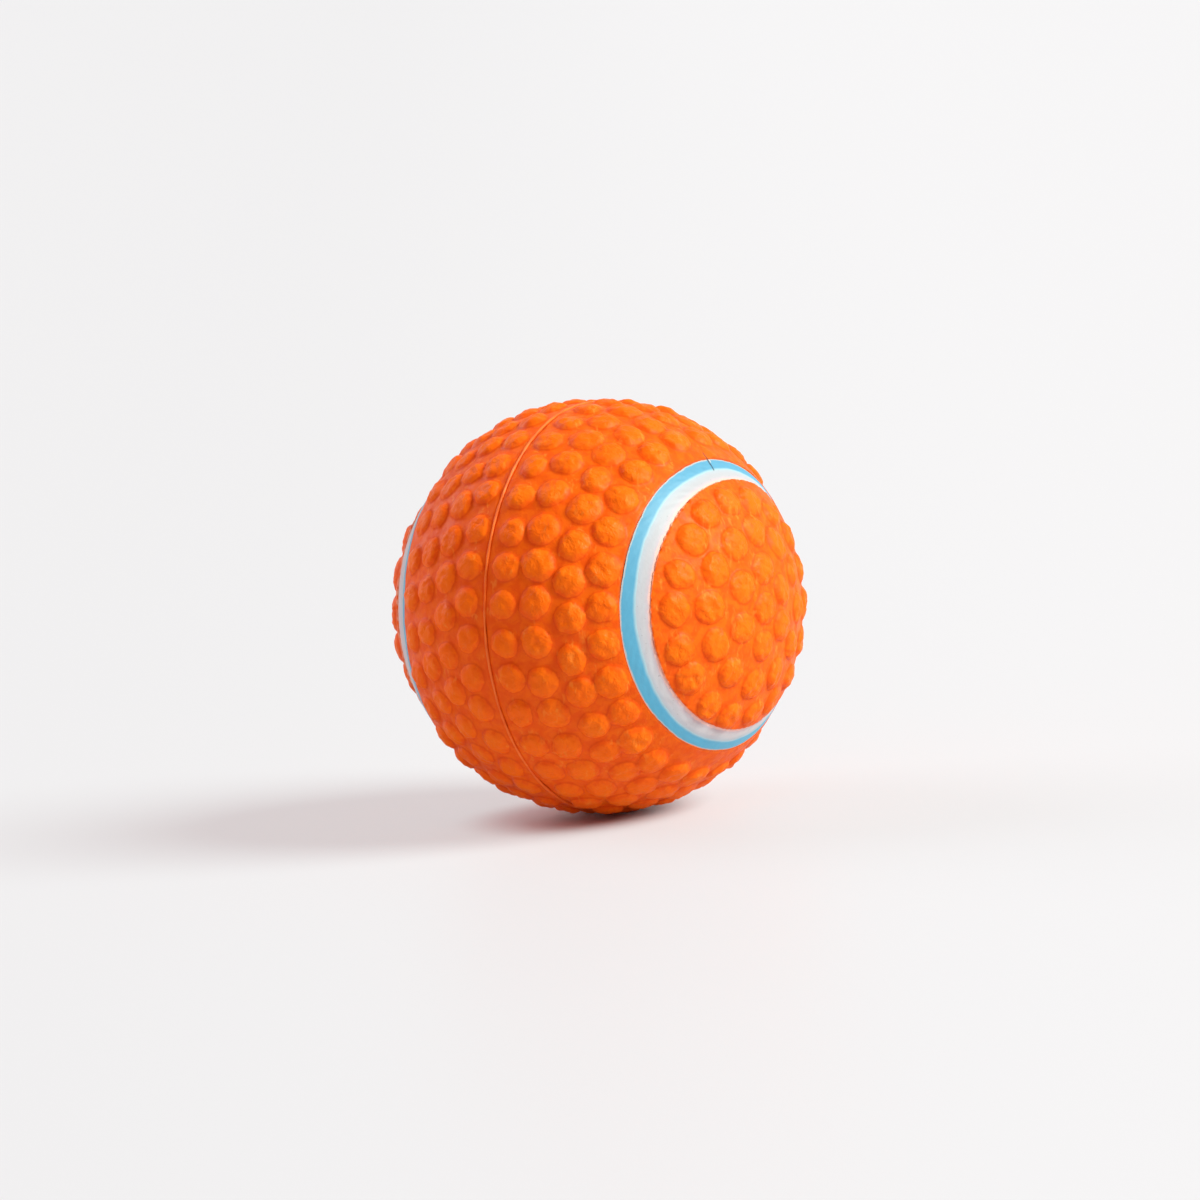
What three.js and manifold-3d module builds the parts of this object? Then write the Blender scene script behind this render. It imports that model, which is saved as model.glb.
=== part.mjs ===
// Nubbed chew ball with a squeaker inside.
// Two moulded rubber half skins meet on a parting plane and are bonded there. Each half has rows of round
// nubs and one groove, in which a blue and a white colour band lie. A foam filling in two halves packs the
// ball and holds a bellows squeaker, whose neck carries a reed clamped on its bed by a wedge.
// Millimetres. +X is the ball's axis, square to the parting plane, +Z is up, the origin is the ball's centre.
import * as THREE from "three";
import { ConvexHull } from "three/addons/math/ConvexHull.js";
import { mergeVertices } from "three/addons/utils/BufferGeometryUtils.js";
import Module from "manifold-3d";

// Skin
const BALL_DIAMETER = 65; // over the nub tips
const NUB_HEIGHT = 0.85; // above the plain surface between the nubs
const SKIN_WALL = 3; // behind the plain surface
const FIT = 0.3; // clearance between two pieces that touch

// Nubs
const NUB_DIAMETER = 5;
const NUB_SHOULDER_DIAMETER = 3.8; // where the flank turns over into the rounded top
const NUB_SHOULDER_HEIGHT = 0.65;
const NUB_SIDES = 6;

// Nub rows, as widths of plain surface measured along it
const SEAM_BORDER = 0.95; // from the parting plane to the first nub
const BODY_ROW_GAP = 0.15; // between two rows of the body
const BODY_NUB_GAP = 0.9; // between neighbours in a body row, about
const BODY_LIP_BORDER = 0.4; // least border between the last row and the groove
const CAP_ROW_GAP = 0.9;
const CAP_NUB_GAP = 0.86;
const CAP_LIP_BORDER = 0.4;

// Where the first nub of each row stands, in degrees about the axis from the front (-Y) towards the top
const RIGHT_BODY_TURNS = [9.7, 10.2, 17, 9.5];
const LEFT_BODY_TURNS = [10.8, 6.2, 2.4, 11.8];
const CAP_TURNS = [39.7, 9.8, 8];

// Each cap, with its nubs and its groove, leans from the ball's axis towards the front
const CAP_LEAN = THREE.MathUtils.degToRad(3);

// Groove and colour bands
const GROOVE_ARC = 23.4; // from the cap's pole to the middle of the groove, along the surface
const GROOVE_DRAFT = 0.25; // slope of each groove wall
const BAND_WIDTH = 2;
const BAND_THICKNESS = 0.35;
const BAND_RECESS = 0.3; // from the plain surface down to the face of the bands

// Bond line round the parting plane
const BEAD_RADIUS = 0.3;

// Squeaker
const BELLOWS_DIAMETER = 26;
const BELLOWS_LENGTH = 19;
const BELLOWS_FOLDS = 4;
const FOLD_DEPTH = 3;
const BELLOWS_WALL = 0.8;
const CROWN_DIAMETER = 24.8;
const CROWN_HEIGHT = 4.6;
const CROWN_RIM_HEIGHT = 1.6; // straight part under the dome
const CROWN_WALL = 1;
const FLANGE_DIAMETER = 24.8;
const FLANGE_THICKNESS = 1.2;
const NECK_LENGTH = 4;
const NECK_BORE = 9.6;
const NECK_WALL = 1.2;

// Reed unit in the neck
const HOLDER_WALL = 1.1;
const HOLDER_RISE = 3; // above the flange, into the bellows
const HOLDER_FLANGE = 0.9;
const REED_THICKNESS = 0.3;
const REED_WIDTH = 4.4;
const REED_FREE_LENGTH = 7.5;
const REED_CLAMP_LENGTH = 2.2;
const CHANNEL_WIDTH = 2.4;
const CHANNEL_DEPTH = 1.6;
const BED_WELD = 0.2; // how far the bed runs into the holder's wall

// Facets
const WELD_DISTANCE = 1e-4; // corners nearer than this are one
const CIRCLE_STEPS = 64;
const BAND_STEPS = 40;
const SPHERE_STEPS = 24;
const SQUEAKER_STEPS = 20;
const DOME_STEPS = 3;
const BEAD_SIDES = 6;
const BAR_STEPS = 8;

// Sizes that follow from these
const BASE_RADIUS = BALL_DIAMETER / 2 - NUB_HEIGHT;
const INNER_RADIUS = BASE_RADIUS - SKIN_WALL;
const PARTING_X = FIT / 2;
const SEAM_BEVEL = (BEAD_RADIUS + FIT) * Math.SQRT2 - PARTING_X;
const GROOVE_HALF = BAND_WIDTH + 1.5 * FIT;
const GROOVE_DEPTH = BAND_RECESS + BAND_THICKNESS + FIT;
const LIP_HALF = GROOVE_HALF + GROOVE_DRAFT;
const EQUATOR_ARC = (Math.PI / 2) * BASE_RADIUS;
const UP = new THREE.Vector3(0, 0, 1);

const SQUEAKER_LENGTH = NECK_LENGTH + FLANGE_THICKNESS + BELLOWS_LENGTH + CROWN_HEIGHT + 2 * FIT;
const NECK_Z = -SQUEAKER_LENGTH / 2;
const FLANGE_Z = NECK_Z + NECK_LENGTH;
const BELLOWS_Z = FLANGE_Z + FLANGE_THICKNESS + FIT;
const CROWN_Z = BELLOWS_Z + BELLOWS_LENGTH + FIT;
const NECK_RADIUS = NECK_BORE / 2 + NECK_WALL;
const HOLDER_RADIUS = NECK_BORE / 2 - FIT;
const HOLDER_BORE = HOLDER_RADIUS - HOLDER_WALL;
const HOLDER_Z = NECK_Z - FIT - HOLDER_FLANGE;
const HOLDER_TOP = FLANGE_Z + FLANGE_THICKNESS + HOLDER_RISE;
const POCKET_RADIUS = Math.max(BELLOWS_DIAMETER, CROWN_DIAMETER, FLANGE_DIAMETER) / 2 + FIT;
const REED_PIVOT_Z = HOLDER_Z + HOLDER_FLANGE + REED_CLAMP_LENGTH;
const WEDGE_X = REED_THICKNESS + 2 * FIT;

const wasm = await Module();
wasm.setup();

// A closed geometry as a solid that can be joined and cut
function solidOf(geometry) {
  const bare = new THREE.BufferGeometry().setAttribute("position", geometry.getAttribute("position"));
  bare.setIndex(geometry.index);
  const merged = mergeVertices(bare, WELD_DISTANCE);
  return new wasm.Manifold(
    new wasm.Mesh({
      numProp: 3,
      vertProperties: merged.attributes.position.array,
      triVerts: new Uint32Array(merged.index.array),
    }),
  );
}

// A cut or joined solid as a geometry
function geometryOf(solid) {
  const mesh = solid.getMesh();
  const geometry = new THREE.BufferGeometry();
  geometry.setAttribute("position", new THREE.BufferAttribute(mesh.vertProperties, 3));
  geometry.setIndex(new THREE.BufferAttribute(mesh.triVerts, 1));
  geometry.computeVertexNormals();
  return geometry;
}

// A profile of [radius, height] corners turned about +Z; it ends on the axis or closes on itself
function turnedAboutZ(profile, steps) {
  const points = profile.map(([radius, height]) => new THREE.Vector2(radius, height));
  return new THREE.LatheGeometry(points, steps).rotateX(Math.PI / 2);
}

// The same about the ball's axis; side 1 puts its height towards +X, side -1 towards -X
function turnedAboutX(profile, steps, side) {
  const points = profile.map(([radius, height]) => new THREE.Vector2(radius, height));
  const geometry = new THREE.LatheGeometry(points, steps).rotateZ(-Math.PI / 2);
  return side > 0 ? geometry : geometry.rotateY(Math.PI);
}

// Points of a quarter circle from the equator to the pole, as [radius, height]
function quarterArc(radius, steps) {
  return Array.from({ length: steps + 1 }, (_, k) => {
    const lift = (k / steps) * (Math.PI / 2);
    return [k === steps ? 0 : radius * Math.cos(lift), radius * Math.sin(lift)];
  });
}

// A unit direction on the ball: polar angle from a pole, turn about the axis from the front, and the lean of
// that pole
function direction(polar, turn, side, lean) {
  const upright = new THREE.Vector3(
    side * Math.cos(polar),
    -Math.sin(polar) * Math.cos(turn),
    Math.sin(polar) * Math.sin(turn),
  );
  return upright.applyAxisAngle(UP, -side * lean);
}

// Evenly spread points of a circle about a pole, at an arc from it and a height
function circleAboutPole(arc, height, side, lean) {
  return Array.from({ length: CIRCLE_STEPS }, (_, k) => {
    const turn = (2 * Math.PI * k) / CIRCLE_STEPS;
    return direction(arc / BASE_RADIUS, turn, side, lean).multiplyScalar(BASE_RADIUS + height);
  });
}

// Every nub of one half, as the polar angle and turn of its middle and the lean of its pole
function nubPlaces(side) {
  const places = [{ polar: 0, turn: 0, lean: CAP_LEAN }];
  function addRow(arc, gap, startDegrees, lean) {
    const polar = arc / BASE_RADIUS;
    const round = 2 * Math.PI * BASE_RADIUS * Math.sin(polar);
    const count = Math.round(round / (NUB_DIAMETER + gap));
    const start = THREE.MathUtils.degToRad(startDegrees);
    for (let k = 0; k < count; k++) places.push({ polar, turn: start + (2 * Math.PI * k) / count, lean });
  }
  const capStep = NUB_DIAMETER + CAP_ROW_GAP;
  const capEnd = GROOVE_ARC - LIP_HALF - CAP_LIP_BORDER - NUB_DIAMETER / 2;
  for (let row = 1; row * capStep <= capEnd; row++) {
    addRow(row * capStep, CAP_NUB_GAP, CAP_TURNS[(row - 1) % CAP_TURNS.length], CAP_LEAN);
  }
  const turns = side > 0 ? RIGHT_BODY_TURNS : LEFT_BODY_TURNS;
  const bodyStep = NUB_DIAMETER + BODY_ROW_GAP;
  const bodyStart = SEAM_BORDER + NUB_DIAMETER / 2;
  const grooveReach = GROOVE_ARC + LIP_HALF + CAP_LEAN * BASE_RADIUS;
  const bodyEnd = EQUATOR_ARC - grooveReach - BODY_LIP_BORDER - NUB_DIAMETER / 2;
  for (let row = 0; bodyStart + row * bodyStep <= bodyEnd; row++) {
    addRow(EQUATOR_ARC - bodyStart - row * bodyStep, BODY_NUB_GAP, turns[row % turns.length], 0);
  }
  return places;
}

// The rings and the tip of one nub: its foot on the plain surface, its shoulder, then its tip
function nubRings({ polar, turn, lean }, side) {
  const middle = direction(polar, turn, side, lean);
  const outward = direction(polar + Math.PI / 2, turn, side, lean);
  const along = direction(Math.PI / 2, turn + Math.PI / 2, side, lean);
  function ring(diameter, height) {
    const tilt = diameter / 2 / BASE_RADIUS;
    return Array.from({ length: NUB_SIDES }, (_, k) => {
      const angle = (2 * Math.PI * k) / NUB_SIDES;
      return middle
        .clone()
        .multiplyScalar(Math.cos(tilt))
        .addScaledVector(outward, Math.sin(tilt) * Math.cos(angle))
        .addScaledVector(along, Math.sin(tilt) * Math.sin(angle))
        .multiplyScalar(BASE_RADIUS + height);
    });
  }
  return {
    foot: ring(NUB_DIAMETER, 0),
    shoulder: ring(NUB_SHOULDER_DIAMETER, NUB_SHOULDER_HEIGHT),
    tip: middle.multiplyScalar(BASE_RADIUS + NUB_HEIGHT),
  };
}

// One half of the outer form, solid. The plain surface between the feet of the nubs and the lips of the
// groove and seam is the convex hull of those rings, so its facets join each ring to the nearest others.
// The nubs, the groove and the bevel at the parting plane are strips between rings.
function halfForm(side) {
  const triangles = [];
  const normal = new THREE.Vector3();
  function addOutward(a, b, c) {
    THREE.Triangle.getNormal(a, b, c, normal);
    const faces = normal.dot(a) + normal.dot(b) + normal.dot(c) > 0;
    triangles.push(...(faces ? [a, b, c] : [a, c, b]));
  }
  function addStrip(ringA, ringB) {
    ringA.forEach((point, k) => {
      const next = (k + 1) % ringA.length;
      addOutward(point, ringA[next], ringB[next]);
      addOutward(point, ringB[next], ringB[k]);
    });
  }

  const nubs = nubPlaces(side).map((place) => nubRings(place, side));
  const bodyLip = circleAboutPole(GROOVE_ARC + LIP_HALF, 0, side, CAP_LEAN);
  const capLip = circleAboutPole(GROOVE_ARC - LIP_HALF, 0, side, CAP_LEAN);
  const seamLip = circleAboutPole(EQUATOR_ARC - PARTING_X - SEAM_BEVEL, 0, side, 0);
  const farPole = new THREE.Vector3(-side * BASE_RADIUS, 0, 0);

  const ringOf = new Map([[farPole, "far"]]);
  nubs.forEach(({ foot }, k) => foot.forEach((point) => ringOf.set(point, k)));
  bodyLip.forEach((point) => ringOf.set(point, "bodyLip"));
  capLip.forEach((point) => ringOf.set(point, "capLip"));
  seamLip.forEach((point) => ringOf.set(point, "seamLip"));

  for (const face of new ConvexHull().setFromPoints([...ringOf.keys()]).faces) {
    const corners = [face.edge.tail().point, face.edge.head().point, face.edge.next.head().point];
    const rings = new Set(corners.map((corner) => ringOf.get(corner)));
    const spansGroove = rings.has("bodyLip") && rings.has("capLip");
    if (rings.size > 1 && !spansGroove && !rings.has("far")) addOutward(...corners);
  }

  for (const { foot, shoulder, tip } of nubs) {
    addStrip(foot, shoulder);
    shoulder.forEach((point, k) => addOutward(point, shoulder[(k + 1) % NUB_SIDES], tip));
  }

  const bodyFloor = circleAboutPole(GROOVE_ARC + GROOVE_HALF, -GROOVE_DEPTH, side, CAP_LEAN);
  const capFloor = circleAboutPole(GROOVE_ARC - GROOVE_HALF, -GROOVE_DEPTH, side, CAP_LEAN);
  addStrip(bodyLip, bodyFloor);
  addStrip(bodyFloor, capFloor);
  addStrip(capFloor, capLip);

  const partingRing = seamLip.map(({ y, z }) =>
    new THREE.Vector3(0, y, z).setLength(BASE_RADIUS - SEAM_BEVEL).setX(side * PARTING_X),
  );
  addStrip(seamLip, partingRing);
  const partingMiddle = new THREE.Vector3(side * PARTING_X, 0, 0);
  partingRing.forEach((point, k) => {
    const next = partingRing[(k + 1) % CIRCLE_STEPS];
    triangles.push(...(side > 0 ? [partingMiddle, point, next] : [partingMiddle, next, point]));
  });

  return new THREE.BufferGeometry().setFromPoints(triangles);
}

// The outer form, hollowed by a ball cut that runs out past the parting plane
function halfSkin(side) {
  const runOut = [[0, -SKIN_WALL], [INNER_RADIUS, -SKIN_WALL]];
  const hollow = [...runOut, ...quarterArc(INNER_RADIUS, SPHERE_STEPS / 4)];
  const cutter = turnedAboutX(hollow, SPHERE_STEPS, side);
  return geometryOf(solidOf(halfForm(side)).subtract(solidOf(cutter)));
}

// A flat-sided ring along the surface, between two arcs from the pole and two depths below the surface
function colourBand(arcFrom, arcTo, side) {
  const corner = (arc, depth) => {
    const radius = BASE_RADIUS - depth;
    return [radius * Math.sin(arc / BASE_RADIUS), radius * Math.cos(arc / BASE_RADIUS)];
  };
  const back = BAND_RECESS + BAND_THICKNESS;
  const profile = [
    corner(arcTo, back),
    corner(arcTo, BAND_RECESS),
    corner(arcFrom, BAND_RECESS),
    corner(arcFrom, back),
    corner(arcTo, back),
  ];
  return turnedAboutX(profile, BAND_STEPS, side).rotateZ(-side * CAP_LEAN);
}

function seamBead() {
  const section = Array.from({ length: BEAD_SIDES + 1 }, (_, k) => {
    const angle = (2 * Math.PI * (k % BEAD_SIDES)) / BEAD_SIDES;
    return [BASE_RADIUS + BEAD_RADIUS * Math.cos(angle), BEAD_RADIUS * Math.sin(angle)];
  });
  return turnedAboutX(section, BAND_STEPS, 1);
}

// The room that the squeaker fills in the foam, with the step that its flange stands on
function squeakerPocket() {
  const neckRoom = NECK_RADIUS + FIT;
  const profile = [
    [0, HOLDER_Z - FIT],
    [neckRoom, HOLDER_Z - FIT],
    [neckRoom, FLANGE_Z - FIT],
    [POCKET_RADIUS, FLANGE_Z - FIT],
    [POCKET_RADIUS, CROWN_Z + CROWN_RIM_HEIGHT + FIT],
    ...crownDome(CROWN_DIAMETER / 2, CROWN_HEIGHT + FIT),
  ];
  return turnedAboutZ(profile, SQUEAKER_STEPS);
}

function foamHalf(side) {
  const radius = INNER_RADIUS - FIT;
  const ball = [[0, PARTING_X], [radius, PARTING_X], ...quarterArc(radius, SPHERE_STEPS / 4).slice(1)];
  const half = solidOf(turnedAboutX(ball, SPHERE_STEPS, side));
  return geometryOf(half.subtract(solidOf(squeakerPocket())));
}

// Points of the crown's dome, from above its rim to the axis
function crownDome(radius, height) {
  const rise = height - CROWN_RIM_HEIGHT;
  return Array.from({ length: DOME_STEPS }, (_, k) => {
    const lift = ((k + 1) / DOME_STEPS) * (Math.PI / 2);
    const reach = k === DOME_STEPS - 1 ? 0 : radius * Math.cos(lift);
    return [reach, CROWN_Z + CROWN_RIM_HEIGHT + rise * Math.sin(lift)];
  });
}

// The stiff domed end of the squeaker, open below, with a lip turned in over the top of the bellows
function crown() {
  const radius = CROWN_DIAMETER / 2;
  const lip = BELLOWS_DIAMETER / 2 - FOLD_DEPTH - BELLOWS_WALL;
  const profile = [
    [lip, CROWN_Z],
    [radius, CROWN_Z],
    [radius, CROWN_Z + CROWN_RIM_HEIGHT],
    ...crownDome(radius, CROWN_HEIGHT),
    ...crownDome(radius - CROWN_WALL, CROWN_HEIGHT - CROWN_WALL).reverse(),
    [lip, CROWN_Z + CROWN_WALL],
    [lip, CROWN_Z],
  ];
  return turnedAboutZ(profile, SQUEAKER_STEPS);
}

// A thin wall folded in and out, with a valley at both ends
function bellows() {
  const ridge = BELLOWS_DIAMETER / 2;
  const outside = Array.from({ length: 2 * BELLOWS_FOLDS + 1 }, (_, k) => [
    k % 2 ? ridge : ridge - FOLD_DEPTH,
    BELLOWS_Z + (BELLOWS_LENGTH * k) / (2 * BELLOWS_FOLDS),
  ]);
  const inside = outside.map(([radius, z]) => [radius - BELLOWS_WALL, z]).reverse();
  return turnedAboutZ([...outside, ...inside, outside[0]], SQUEAKER_STEPS);
}

function neck() {
  const bore = NECK_BORE / 2;
  const top = FLANGE_Z + FLANGE_THICKNESS;
  const profile = [
    [bore, NECK_Z],
    [NECK_RADIUS, NECK_Z],
    [NECK_RADIUS, FLANGE_Z],
    [FLANGE_DIAMETER / 2, FLANGE_Z],
    [FLANGE_DIAMETER / 2, top],
    [bore, top],
    [bore, NECK_Z],
  ];
  return turnedAboutZ(profile, SQUEAKER_STEPS);
}

// A bar along Z whose section is the part of a circle beyond a straight side at x = chord
function circleSegmentBar(radius, chord, towardsX, fromZ, toZ) {
  const half = Math.acos(chord / radius);
  const shape = new THREE.Shape().absarc(0, 0, radius, -half, half);
  const options = { depth: toZ - fromZ, bevelEnabled: false, curveSegments: BAR_STEPS };
  const bar = new THREE.ExtrudeGeometry(shape, options).translate(0, 0, fromZ);
  return towardsX > 0 ? bar : bar.rotateZ(Math.PI);
}

// A tube pressed into the neck, with a bed across half its bore and an air channel along the bed
function reedHolder() {
  const flangeTop = HOLDER_Z + HOLDER_FLANGE;
  const profile = [
    [HOLDER_BORE, HOLDER_Z],
    [NECK_RADIUS, HOLDER_Z],
    [NECK_RADIUS, flangeTop],
    [HOLDER_RADIUS, flangeTop],
    [HOLDER_RADIUS, HOLDER_TOP],
    [HOLDER_BORE, HOLDER_TOP],
    [HOLDER_BORE, HOLDER_Z],
  ];
  const tube = solidOf(turnedAboutZ(profile, SQUEAKER_STEPS));
  const bed = solidOf(circleSegmentBar(HOLDER_BORE + BED_WELD, 0, -1, HOLDER_Z, HOLDER_TOP));
  const length = HOLDER_TOP - HOLDER_Z;
  const channel = new THREE.BoxGeometry(2 * CHANNEL_DEPTH, CHANNEL_WIDTH, 2 * length);
  channel.translate(0, 0, HOLDER_Z + length / 2);
  return geometryOf(tube.add(bed).subtract(solidOf(channel)));
}

function reedWedge() {
  return circleSegmentBar(HOLDER_BORE - FIT, WEDGE_X, 1, REED_PIVOT_Z - REED_CLAMP_LENGTH, REED_PIVOT_Z);
}

// A thin tongue over the bed, held at its lower end and free above its pivot
function reed() {
  const length = REED_CLAMP_LENGTH + REED_FREE_LENGTH;
  const tongue = new THREE.BoxGeometry(REED_THICKNESS, REED_WIDTH, length);
  return tongue.translate(FIT + REED_THICKNESS / 2, 0, REED_PIVOT_Z - REED_CLAMP_LENGTH + length / 2);
}

const finishes = {
  skin: { color: 0xee6a1c, roughness: 0.5 },
  bead: { color: 0xf27a2c, roughness: 0.5 },
  blue: { color: 0x7fc0dd, roughness: 0.45 },
  white: { color: 0xe9e8ea, roughness: 0.45 },
  foam: { color: 0xe8d9a8, roughness: 0.95 },
  bellows: { color: 0xf3f3ee, roughness: 0.4 },
  reedPlastic: { color: 0xdfe6ea, roughness: 0.3 },
  reedFilm: { color: 0xbfd0dc, roughness: 0.15 },
};

const ball = new THREE.Group();
function addPiece(name, geometry, finish) {
  const material = new THREE.MeshStandardMaterial({ metalness: 0, ...finishes[finish] });
  const mesh = new THREE.Mesh(geometry, material);
  mesh.name = name;
  ball.add(mesh);
}

for (const [name, side] of [["right", 1], ["left", -1]]) {
  const blueFrom = GROOVE_ARC + FIT / 2;
  const whiteTo = GROOVE_ARC - FIT / 2;
  addPiece(`${name}_skin`, halfSkin(side), "skin");
  addPiece(`${name}_blue_band`, colourBand(blueFrom, blueFrom + BAND_WIDTH, side), "blue");
  addPiece(`${name}_white_band`, colourBand(whiteTo - BAND_WIDTH, whiteTo, side), "white");
  addPiece(`${name}_foam`, foamHalf(side), "foam");
}
addPiece("seam_bead", seamBead(), "bead");
addPiece("squeaker_neck", neck(), "bellows");
addPiece("squeaker_bellows", bellows(), "bellows");
addPiece("squeaker_crown", crown(), "bellows");
addPiece("reed_holder", reedHolder(), "reedPlastic");
addPiece("reed_wedge", reedWedge(), "reedPlastic");
addPiece("squeaker_reed", reed(), "reedFilm");

export default ball;
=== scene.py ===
"""Looks of the nubbed chew ball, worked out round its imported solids.

Lengths are millimetres until they go into a mesh. The ball's axis is X and its parting plane x = 0, Z is up.
A place on the ball is a polar angle from a pole and a turn about X, from the front towards the top. An arc is a
polar angle times the radius of the plain surface between the nubs. The caps lean from the axis towards the front.
Where the halves differ, a value is given for each side, 1 being the right half and -1 the left.
"""

import bmesh
import bpy
import numpy as np
from mathutils import Matrix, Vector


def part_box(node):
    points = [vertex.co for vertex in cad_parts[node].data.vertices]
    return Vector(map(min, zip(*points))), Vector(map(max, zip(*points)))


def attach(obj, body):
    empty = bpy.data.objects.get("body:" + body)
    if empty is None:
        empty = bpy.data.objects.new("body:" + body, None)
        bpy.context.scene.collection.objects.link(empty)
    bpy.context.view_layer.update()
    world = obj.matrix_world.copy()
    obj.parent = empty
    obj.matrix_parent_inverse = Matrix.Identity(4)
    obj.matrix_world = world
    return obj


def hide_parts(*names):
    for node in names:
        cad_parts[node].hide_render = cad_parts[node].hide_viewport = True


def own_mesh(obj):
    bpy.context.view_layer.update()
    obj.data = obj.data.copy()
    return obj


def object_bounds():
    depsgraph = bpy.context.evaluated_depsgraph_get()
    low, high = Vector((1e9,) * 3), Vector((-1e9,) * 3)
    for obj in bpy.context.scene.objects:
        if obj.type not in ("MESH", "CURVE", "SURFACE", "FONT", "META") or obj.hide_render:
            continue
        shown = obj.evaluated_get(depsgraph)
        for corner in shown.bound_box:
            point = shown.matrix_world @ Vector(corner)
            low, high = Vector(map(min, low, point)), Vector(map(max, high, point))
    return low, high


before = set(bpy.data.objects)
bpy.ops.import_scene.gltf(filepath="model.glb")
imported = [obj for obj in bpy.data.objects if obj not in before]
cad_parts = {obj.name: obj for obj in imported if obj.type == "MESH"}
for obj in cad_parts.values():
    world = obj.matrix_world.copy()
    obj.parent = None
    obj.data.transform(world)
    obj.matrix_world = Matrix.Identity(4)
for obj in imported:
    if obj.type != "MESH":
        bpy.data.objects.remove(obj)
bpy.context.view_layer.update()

MM = 0.001


def node_box(node):
    """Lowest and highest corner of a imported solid, in millimetres."""
    low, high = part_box(node)
    return np.array(low) / MM, np.array(high) / MM


# Sizes of the skin
TIP_RADIUS = 32.5
NUB_HEIGHT = 0.85
BASE_RADIUS = TIP_RADIUS - NUB_HEIGHT
PARTING = node_box("right_skin")[0][0]
SKIN_WALL = 3.0
INNER_RADIUS = BASE_RADIUS - SKIN_WALL
EQUATOR_ARC = BASE_RADIUS * np.pi / 2
SEAM_ARC = BASE_RADIUS * np.arccos(PARTING / BASE_RADIUS)

# Nub rows, with as many nubs as on the solids; the rows of the left half lie a little closer together
NUB_WIDTH = 5.0
SOLID_FIRST_ROW, SOLID_ROW_STEP = 3.45, 5.15
FIRST_ROW, ROW_STEP = {1: SOLID_FIRST_ROW, -1: 3.35}, {1: SOLID_ROW_STEP, -1: 4.75}
BODY_NUB_GAP = 0.9
CAP_ROW_GAP, CAP_NUB_GAP = 0.9, 0.86
BODY_ROWS, CAP_ROWS = 4, 3
BODY_STARTS = {1: (9.7, 10.2, 17.0, 9.5), -1: (10.8, 6.2, 2.4, 11.8)}
BODY_WIDTHS = {1: (0.91, 1.0, 1.0, 1.0), -1: (0.92, 0.91, 0.9, 0.9)}
CAP_STARTS = (39.7, 9.8, 8.0)
CAP_NUB_RISE = 0.85
CAP_LEAN = np.radians(3.0)
NUB_STRAY, ROW_STRAY_MOST = 0.2, 0.012  # millimetres any way, and radians across a row
SINE_LEAST = 0.2  # of a polar angle, where a stray along a row is divided by it

# Ranges that each nub draws from: shares of its width and height, how oval and how slanted it is, the depths of its
# dimple and its crease, where a draw below zero means none, and the crease's distance from its middle
WIDTH_SHARES, RISE_SHARES = (0.98, 1.1), (0.82, 1.0)
OVALS, SLANTS = (0, 0.08), (0, 0.25)
DIMPLE_DEPTHS, CREASE_DEPTHS, CREASE_OFFS = (-0.04, 0.1), (-0.06, 0.1), (-0.6, 0.6)

# Groove of each half: the arc of its middle from the cap's pole, and how it strays from a true circle
GROOVE_ARC = 23.4
RING_GROWTH = {1: 0.1, -1: 0.17}
RING_SHIFT, RING_SHIFT_WAY = {1: 0.4, -1: 0.2}, {1: np.radians(120), -1: np.radians(10)}
RING_OVAL, RING_OVAL_WAY = {1: 0.7, -1: 0.33}, np.radians(12)
RING_LOBES, RING_LOBES_WAY = {1: 0.15, -1: 0.0}, np.radians(110)
RING_PINCH, RING_PINCH_WAY, RING_PINCH_POWER = {1: 1.6, -1: 0.0}, np.radians(140), 16
RING_WIDTH, RING_SWELL, RING_SWELL_WAY = {1: 0.94, -1: 1.2}, {1: 0.09, -1: 0.0}, np.radians(20)
LIP_HALF, GROOVE_WALL, GROOVE_DEPTH = 2.4, 0.45, 0.95

# Colour lines, as distances across the groove from its middle towards the body
WHITE_FROM, COLOUR_BORDER, BLUE_TO = -2.25, {1: 0.0, -1: 1.1}, 2.26
BORDER_LOBES, BORDER_LOBES_WAY = {1: 0.25, -1: 0.0}, np.radians(55)
LINE_DEPTH_BODY, LINE_DEPTH_CAP, LINE_BACK = 0.1, 0.2, 0.75

# Bond line
BEAD_HALF_WIDTH, BEAD_RISE = 0.19, 0.22
SEAM_CREASE, SEAM_CREASE_REACH = 0.12, 0.4

# Squeaker in the foam, and the room left round it
FIT = 0.3

# Uneven surfaces, as heights and wavelengths of ripples, whose single waves are shorter or longer by these shares
WAVE_SHARES = (0.7, 1.4)
PLAIN_SWELLS = ((0.035, 6.0), (0.015, 2.2))
NUB_LUMPS = ((0.055, 2.0), (0.035, 1.1))
LIP_NIBBLE = ((0.06, 1.0),)
RAGGED_FEET = ((0.06, 2.4), (0.045, 0.9))
EDGE_WAVER, EDGE_FRAY = (0.06, 9.0), (0.02, 2.0)
PAINT_RUFFLE, PAINT_RUFFLE_SLANT = (0.01, 1.8), 0.8
BEAD_SWELL, BEAD_WAVER = (0.1, 3.0), (0.05, 9.0)
FOAM_PITS = (0.08, 4.0)

# Seeds of the random draws
SKIN_SEEDS = {1: 11, -1: 12}
WHITE_SEED, BLUE_SEED, BEAD_SEED, FOAM_SEED, EDGE_SEED = 31, 41, 71, 81, 100


def smooth_step(start, end, value):
    """0 before start, 1 after end, and the cubic 3t^2 - 2t^3 between them."""
    t = np.clip((value - start) / (end - start), 0.0, 1.0)
    return t * t * (3 - 2 * t)


def on_ball(polar, turn, side):
    """Unit directions (n, 3) of places on the ball; side is 1 for the right half and -1 for the left."""
    return np.stack(
        [
            side * np.cos(polar) * np.ones_like(turn),
            -np.sin(polar) * np.cos(turn),
            np.sin(polar) * np.sin(turn),
        ],
        axis=-1,
    )


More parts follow.
